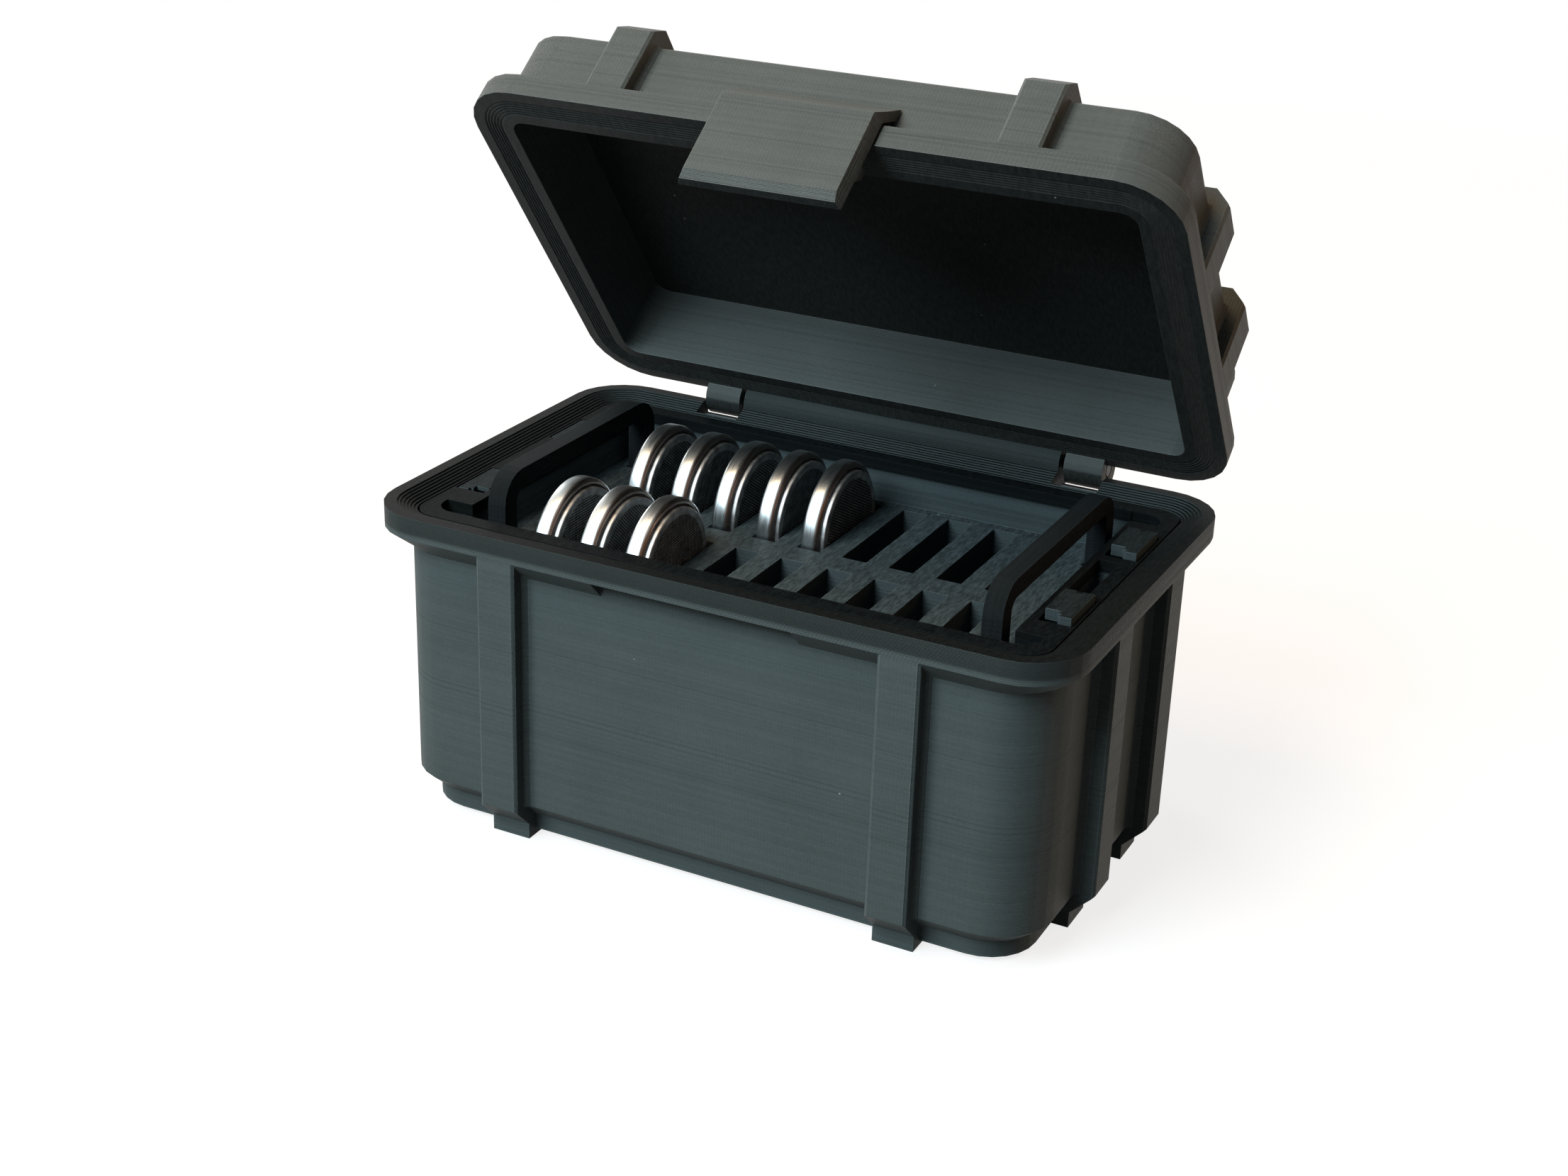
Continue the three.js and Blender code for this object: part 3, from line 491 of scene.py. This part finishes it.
def stippled_steel(colour, pitch):
    """Steel cap rolled with small dots that grip the contact. A painted shade darkens the steel between
    the dots, and a painted highlight lightens their points and the plain shoulder round them."""
    material, tree = new_material("stippled_steel_cap")
    place = add(tree, "ShaderNodeTexCoord")
    axes = add(tree, "ShaderNodeSeparateXYZ", {"Vector": place.outputs["Object"]})
    turns = math.pi / pitch
    waves = []
    for operation in ("ADD", "SUBTRACT"):
        slant = add(tree, "ShaderNodeMath", {
            0: axes.outputs["Y"], 1: axes.outputs["Z"]}, operation=operation)
        phase = add(tree, "ShaderNodeMath", {0: slant, 1: turns * math.sqrt(2)}, operation="MULTIPLY")
        waves.append(add(tree, "ShaderNodeMath", {0: phase}, operation="SINE"))
    dots = add(tree, "ShaderNodeMath", {0: waves[0], 1: waves[1]}, operation="MULTIPLY")
    flat = add(tree, "ShaderNodeCombineXYZ", {"Y": axes.outputs["Y"], "Z": axes.outputs["Z"]})
    reach = add(tree, "ShaderNodeVectorMath", {0: flat}, operation="LENGTH")
    inside = add(tree, "ShaderNodeMath", {
        0: reach.outputs["Value"], 1: CAP_DOTTED_R}, operation="LESS_THAN")
    dots = add(tree, "ShaderNodeMath", {0: dots, 1: inside}, operation="MULTIPLY")
    marks = add(tree, "ShaderNodeTexNoise", {
        "Vector": place.outputs["Object"], "Scale": 0.7 / MM, "Detail": 4.0})
    bump = add(tree, "ShaderNodeBump", {"Strength": 0.9, "Distance": 0.07 * MM, "Height": dots})
    # Painted highlight on the dots' points and painted shade between them
    dot_highlight_and_shade = add(tree, "ShaderNodeMapRange", {
        "Value": dots, "From Min": 0.0, "From Max": 0.7, "To Min": 0.06, "To Max": 1.9})
    # Painted highlight on the plain shoulder round the dots
    shade = add(tree, "ShaderNodeMix", {"Factor": inside, "A": 1.5, "B": dot_highlight_and_shade})
    patch = add(tree, "ShaderNodeMath", {0: marks, 1: shade}, operation="MULTIPLY")
    doubled = (*[2 * c for c in colour], 1)
    tone = add(tree, "ShaderNodeMix", {
        "Factor": 1.0, "A": doubled, "B": patch}, data_type="RGBA", blend_type="MULTIPLY")
    rough = add(tree, "ShaderNodeMapRange", {"Value": marks, "To Min": 0.35, "To Max": 0.55})
    shader = add(tree, "ShaderNodeBsdfPrincipled", {
        "Base Color": tone.outputs[2], "Metallic": 1.0, "Roughness": rough, "Normal": bump})
    finish_material(tree, shader)
    return material


def nylon_gasket(colour):
    """Moulded nylon sealing ring, tinted by its sealant: dark brown, softly glossy and a little patchy."""
    material, tree = new_material("nylon_gasket")
    place = add(tree, "ShaderNodeTexCoord")
    patches = add(tree, "ShaderNodeTexNoise", {
        "Vector": place.outputs["Object"], "Scale": 1.5 / MM, "Detail": 3.0})
    shade = add(tree, "ShaderNodeMapRange", {"Value": patches, "To Min": 0.6, "To Max": 1.4})
    tone = add(tree, "ShaderNodeMix", {
        "Factor": 1.0, "A": (*colour, 1), "B": shade}, data_type="RGBA", blend_type="MULTIPLY")
    bump = add(tree, "ShaderNodeBump", {"Strength": 0.3, "Distance": 0.03 * MM, "Height": patches})
    shader = add(tree, "ShaderNodeBsdfPrincipled", {
        "Base Color": tone.outputs[2], "Roughness": 0.42, "Normal": bump})
    finish_material(tree, shader)
    return material


def paint(nodes, material):
    """Gives CAD nodes their material, with round faces shaded smooth and edges kept."""
    for name in nodes:
        piece = frame["nodes"][name]
        piece.data.materials.clear()
        piece.data.materials.append(material)
        if "custom_normal" in piece.data.attributes:
            piece.data.attributes.remove(piece.data.attributes["custom_normal"])
        for face in piece.data.polygons:
            face.use_smooth = True
            face.material_index = 0
        weld = piece.modifiers.new("weld", "WELD")
        weld.merge_threshold = WELD_GAP
        split = piece.modifiers.new("edges", "EDGE_SPLIT")
        split.split_angle = CREASE


def bend(centre, radius, start, end, steps=5):
    """Points of an arc in a profile, as radius and depth, between two angles in degrees."""
    angles = [math.radians(start + (end - start) * i / steps) for i in range(steps + 1)]
    return [(centre[0] + radius * math.cos(a), centre[1] + radius * math.sin(a)) for a in angles]


def can_profile():
    """From the middle of the flat side, round the drawn edge, over the crimp and back inside."""
    edge = bend((CAN_R - CAN_BEND, CAN_BEND), CAN_BEND, -90, 0)
    crimp = bend((CAN_R - CRIMP_BEND, CRIMP_TOP - CRIMP_BEND), CRIMP_BEND, 0, 90)
    lip = bend((CRIMP_IN + LIP_BEND, CRIMP_TOP - LIP_BEND), LIP_BEND, 90, 180)
    return [(0, 0), *edge, *crimp, *lip, (CRIMP_IN, CAN_INSIDE), (0, CAN_INSIDE)]


def gasket_profile():
    """A thin ring with a rounded crown, in the gap between can and cap."""
    crown = bend((GASKET_R - GASKET_HALF, GASKET_TOP - GASKET_HALF), GASKET_HALF, 0, 180, 6)
    inner = GASKET_R - 2 * GASKET_HALF
    return [(GASKET_R, GASKET_LOW), *crown, (inner, GASKET_LOW), (GASKET_R, GASKET_LOW)]


def cap_profile():
    """A disc with a rounded shoulder, and a shallow step down to its dotted middle."""
    shoulder = bend((CAP_R - CAP_BEND, CELL_DEEP - CAP_BEND), CAP_BEND, 0, 90)
    rim = [(CAP_DOTTED_R + CAP_STEP, CELL_DEEP), (CAP_DOTTED_R, CELL_DEEP - CAP_STEP)]
    return [(0, CAP_LOW), (CAP_R, CAP_LOW), *shoulder, *rim, (0, CELL_DEEP - CAP_STEP)]


def turned(name, profile, steps):
    """A closed mesh turned about X from a profile of radius and depth. A point on the axis is one vertex."""
    shape = bmesh.new()
    rings = []
    for radius, depth in profile:
        count = steps if radius > 0 else 1
        angles = [2 * math.pi * i / count for i in range(count)]
        rings.append([
            shape.verts.new((depth, radius * math.cos(a), radius * math.sin(a))) for a in angles])
    for one, two in zip(rings, rings[1:]):
        for i in range(steps):
            j = (i + 1) % steps
            corners = [one[i % len(one)], one[j % len(one)], two[j % len(two)], two[i % len(two)]]
            shape.faces.new(list(dict.fromkeys(corners)))
    bmesh.ops.remove_doubles(shape, verts=shape.verts, dist=SAME_POINT)
    bmesh.ops.recalc_face_normals(shape, faces=shape.faces)
    for face in shape.faces:
        face.smooth = True
    mesh = bpy.data.meshes.new(name)
    shape.to_mesh(mesh)
    shape.free()
    return mesh


def seat_in_cell(name, mesh, cell, node, angle):
    """One turned piece of a cell, in the place of its CAD node, at its own angle about its axis."""
    low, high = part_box(f"{cell}_can")
    piece = bpy.data.objects.new(name, mesh)
    middle = (low + high) / 2
    seat = Matrix.Translation((low.x, middle.y, middle.z))
    piece.matrix_world = seat @ Matrix.Rotation(angle, 4, "X")
    split = piece.modifiers.new("edges", "EDGE_SPLIT")
    split.split_angle = CELL_CREASE
    bpy.context.scene.collection.objects.link(piece)
    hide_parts(node)
    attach(piece, cell)


class PrintShell(bpy.types.Operator):
    """Finishes the base, the lid and the latch as black printed plastic"""

    bl_idname = "cellbox.print_shell"
    bl_label = "Print the shell"

    def execute(self, context):
        settings = context.scene.cellbox_print
        # Painted shade: the base darker above the rim's height, level faces darker on their dark side
        rim = (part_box("tray")[1].z - RIM_DEEP) / MM
        paint(SHELL_NODES, filament(
            "black_pla_base", tuple(settings.shell_colour), settings,
            gloss=0.04, top=rim, top_share=0.42, ruled=False))
        paint(LID_NODES, filament(
            "black_pla_lid", tuple(settings.lid_colour), settings,
            turn=(opened_angle(), 0, 0), dark_side_painted_shade=0.3, dark_side=-1))
        return {"FINISHED"}


class PrintTray(bpy.types.Operator):
    """Finishes the tray, its handles and its plates"""

    bl_idname = "cellbox.print_tray"
    bl_label = "Print the tray"

    def execute(self, context):
        settings = context.scene.cellbox_print
        colour = tuple(settings.tray_colour)
        # Painted shade: the tray darker above its ring's height, level faces darker on their dark side
        ring = (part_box("tray")[1].z - RING_DEEP) / MM
        paint(TRAY_NODES, filament(
            "black_pla_tray", colour, settings, grain=1.6, gloss=0.02, dark_side_painted_shade=0.95,
            top=ring, top_share=0.13))
        paint(PLATE_NODES, filament(
            "black_pla_plates", colour, settings, grain=1.3, gloss=0.02, dark_side_painted_shade=0.35))
        paint(HANDLE_NODES, filament(
            "black_pla_handles", tuple(settings.handle_colour), settings,
            turn=(0, math.pi / 2, 0), grain=1.4, gloss=0.02, dark_side_painted_shade=0.35))
        return {"FINISHED"}


class FitPins(bpy.types.Operator):
    """Finishes the steel pins"""

    bl_idname = "cellbox.fit_pins"
    bl_label = "Fit the pins"

    def execute(self, context):
        paint(PIN_NODES, drawn_wire())
        return {"FINISHED"}


class LoadCells(bpy.types.Operator):
    """Turns the cans, gaskets and caps of the coin cells and finishes them"""

    bl_idname = "cellbox.load_cells"
    bl_label = "Load the cells"

    def execute(self, context):
        settings = context.scene.cellbox_cells
        kinds = {
            "can": (can_profile(), nickel_plate(tuple(settings.can_colour))),
            "gasket": (gasket_profile(), nylon_gasket(tuple(settings.gasket_colour))),
            "cap": (cap_profile(), stippled_steel(tuple(settings.cap_colour), settings.dot_pitch)),
        }
        for kind, (profile, material) in kinds.items():
            mesh = turned(f"cell_{kind}", profile, settings.round_steps)
            mesh.materials.append(material)
            for number, cell in enumerate(CELLS):
                angle = number * CELL_TURN
                seat_in_cell(f"{cell}_turned_{kind}", mesh, cell, f"{cell}_{kind}", angle)
        return {"FINISHED"}


def outwards(azimuth, elevation):
    """A direction away from the box: azimuth from the front towards the right, and height, in radians."""
    level = math.cos(elevation)
    return Vector((math.sin(azimuth) * level, -math.cos(azimuth) * level, math.sin(elevation)))


def view_axes(settings):
    """The camera's own right, up and backward directions."""
    back = outwards(settings.azimuth, settings.elevation)
    level = Vector((math.cos(settings.azimuth), math.sin(settings.azimuth), 0))
    upright = back.cross(level)
    right = math.cos(settings.roll) * level + math.sin(settings.roll) * upright
    return right, back.cross(right), back


def rim_middle():
    """The middle of the base's rim: the tray sits in the middle of the box, a seat's depth below."""
    low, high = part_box("tray")
    return Vector(((low.x + high.x) / 2, (low.y + high.y) / 2, high.z + SEAT_DEEP))


def place_camera(settings):
    """Puts the camera where the photo was taken from."""
    right, up, back = view_axes(settings)
    data = bpy.data.cameras.new("camera")
    data.sensor_fit = "HORIZONTAL"
    data.lens = data.sensor_width * settings.focal / PHOTO_WIDE
    data.clip_start = CLIP_START
    data.clip_end = CLIP_END
    camera = bpy.data.objects.new("camera", data)
    spot = rim_middle() + back * settings.distance + right * settings.aside + up * settings.lift
    camera.matrix_world = Matrix.Translation(spot) @ Matrix((right, up, back)).transposed().to_4x4()
    bpy.context.scene.collection.objects.link(camera)
    bpy.context.scene.camera = camera


def seen_directly(tree):
    """1 for what the camera, mirrors and glass see, and 0 for light that falls on the object."""
    rays = add(tree, "ShaderNodeLightPath")
    seen = add(tree, "ShaderNodeMath", {
        0: rays.outputs["Is Camera Ray"], 1: rays.outputs["Is Glossy Ray"]}, operation="MAXIMUM")
    return add(tree, "ShaderNodeMath", {
        0: seen, 1: rays.outputs["Is Transmission Ray"]}, operation="MAXIMUM")


def light_world(settings):
    """White all round, that gives only a part of its light to the object."""
    world = bpy.data.worlds.new("studio")
    bpy.context.scene.world = world
    world.use_nodes = True
    tree = world.node_tree
    tree.nodes.clear()
    strength = add(tree, "ShaderNodeMix", {
        "Factor": seen_directly(tree), "A": settings.room_light, "B": 1.0})
    background = add(tree, "ShaderNodeBackground", {"Color": (1, 1, 1, 1), "Strength": strength})
    add(tree, "ShaderNodeOutputWorld", {"Surface": background})


def lay_floor(settings):
    """Matt white card. Part of it shows plain white, so that the shadow on it stays pale, and far out all
    of it does, so that it meets the white world. The light that bounces off it is that of a grey card, so
    that the black plastic stays dark."""
    material, tree = new_material("matt_card_floor")
    seen = seen_directly(tree)
    tone = add(tree, "ShaderNodeMix", {
        "Factor": seen, "A": (*linear(FLOOR_UNSEEN), 1), "B": (*settings.floor_colour, 1)}, data_type="RGBA")
    card = add(tree, "ShaderNodeBsdfPrincipled", {
        "Base Color": tone.outputs[2], "Roughness": 0.9, "Specular IOR Level": 0.1})
    white = add(tree, "ShaderNodeEmission", {"Color": (1, 1, 1, 1), "Strength": 1.0})
    place = add(tree, "ShaderNodeTexCoord")
    away = add(tree, "ShaderNodeVectorMath", {0: place.outputs["Object"]}, operation="LENGTH")
    fade = add(tree, "ShaderNodeMapRange", {
        "Value": away.outputs["Value"], "From Min": FLOOR_NEAR, "From Max": FLOOR_FAR,
        "To Min": settings.floor_white, "To Max": 1.0})
    share = add(tree, "ShaderNodeMath", {0: seen, 1: fade}, operation="MULTIPLY")
    shader = add(tree, "ShaderNodeMixShader", {0: share, 1: card, 2: white})
    finish_material(tree, shader)
    mesh = bpy.data.meshes.new("floor")
    corners = [(x * FLOOR_HALF, y * FLOOR_HALF, 0) for x, y in ((-1, -1), (1, -1), (1, 1), (-1, 1))]
    mesh.from_pydata(corners, [], [(0, 1, 2, 3)])
    mesh.materials.append(material)
    floor = bpy.data.objects.new("floor", mesh)
    bpy.context.scene.collection.objects.link(floor)


def hang_lamp(name, azimuth, elevation, distance, size, power, colour):
    """A round soft lamp that points at the rim, from a direction in degrees."""
    data = bpy.data.lights.new(name, "AREA")
    data.shape = "DISK"
    data.size = size
    data.energy = power
    data.color = linear(colour)
    lamp = bpy.data.objects.new(name, data)
    back = outwards(math.radians(azimuth), math.radians(elevation))
    lamp.location = rim_middle() + back * distance
    lamp.rotation_mode = "QUATERNION"
    lamp.rotation_quaternion = back.to_track_quat("Z", "Y")
    bpy.context.scene.collection.objects.link(lamp)


def stand_flag():
    """A bent flag beside the box, hidden from the camera: it keeps light off the right side, as a dim room
    would. Its brown is a glow that only reflections see, a painted reflection in the cells and in the sheen
    of the plastic; to falling light it is black."""
    material, tree = new_material("brown_glow_flag")
    shown = add(tree, "ShaderNodeMath", {0: seen_directly(tree), 1: FLAG_STRENGTH}, operation="MULTIPLY")
    shader = add(tree, "ShaderNodeEmission", {"Color": (*linear(FLAG_COLOUR), 1), "Strength": shown})
    finish_material(tree, shader)
    mesh = bpy.data.meshes.new("flag")
    bends = [math.radians(a) for a in range(FLAG_FROM, FLAG_TO + 1, FLAG_STEP)]
    foot = [(FLAG_AWAY * math.sin(a), -FLAG_AWAY * math.cos(a)) for a in bends]
    points = [(x, y, z) for z in (0.0, FLAG_HIGH) for x, y in foot]
    n = len(foot)
    mesh.from_pydata(points, [], [(i, i + 1, n + i + 1, n + i) for i in range(n - 1)])
    mesh.materials.append(material)
    flag = bpy.data.objects.new("flag", mesh)
    flag.visible_camera = False
    bpy.context.scene.collection.objects.link(flag)


class SetStage(bpy.types.Operator):
    """Sets up the camera, the floor and the light"""

    bl_idname = "cellbox.set_stage"
    bl_label = "Set the stage"

    def execute(self, context):
        settings = context.scene.cellbox_stage
        bpy.context.scene.view_settings.view_transform = "Standard"
        place_camera(settings)
        light_world(settings)
        lay_floor(settings)
        hang_lamp("window", azimuth=-20, elevation=40, distance=0.9, size=0.55, power=13.0, colour="#e9faff")
        hang_lamp("ceiling", azimuth=-50, elevation=68, distance=1.0, size=0.5, power=6.5, colour="#ffd09a")
        hang_lamp("room", azimuth=128, elevation=22, distance=1.0, size=0.6, power=4.3, colour="#ffcb9a")
        hang_lamp("fill", azimuth=245, elevation=30, distance=1.0, size=0.6, power=4.2, colour="#fff6ea")
        stand_flag()
        return {"FINISHED"}


class CellBoxPanel(bpy.types.Panel):
    """Lists the steps and their sizes"""

    bl_idname = "VIEW3D_PT_cellbox"
    bl_label = "Cell box"
    bl_space_type = "VIEW_3D"
    bl_region_type = "UI"
    bl_category = "Cell box"

    def draw(self, context):
        for name in GROUPS:
            group = getattr(context.scene, name)
            for key in group.__annotations__:
                self.layout.prop(group, key)
        for step in STEPS:
            self.layout.operator(step.bl_idname)


STEPS = (PrintShell, PrintTray, FitPins, LoadCells, SetStage)
GROUPS = {"cellbox_print": PrintSettings, "cellbox_cells": CellSettings, "cellbox_stage": StageSettings}


def register():
    """Adds the groups, the steps and the panel to Blender."""
    for kind in (*GROUPS.values(), *STEPS, CellBoxPanel):
        bpy.utils.register_class(kind)
    for name, group in GROUPS.items():
        setattr(bpy.types.Scene, name, PointerProperty(type=group))


def unregister():
    """Takes them out again."""
    for name in GROUPS:
        delattr(bpy.types.Scene, name)
    for kind in (CellBoxPanel, *reversed(STEPS), *reversed(GROUPS.values())):
        bpy.utils.unregister_class(kind)


def main():
    """Dresses the model step by step."""
    register()
    bpy.ops.cellbox.print_shell()
    bpy.ops.cellbox.print_tray()
    bpy.ops.cellbox.fit_pins()
    bpy.ops.cellbox.load_cells()
    bpy.ops.cellbox.set_stage()


if __name__ == "__main__":
    main()
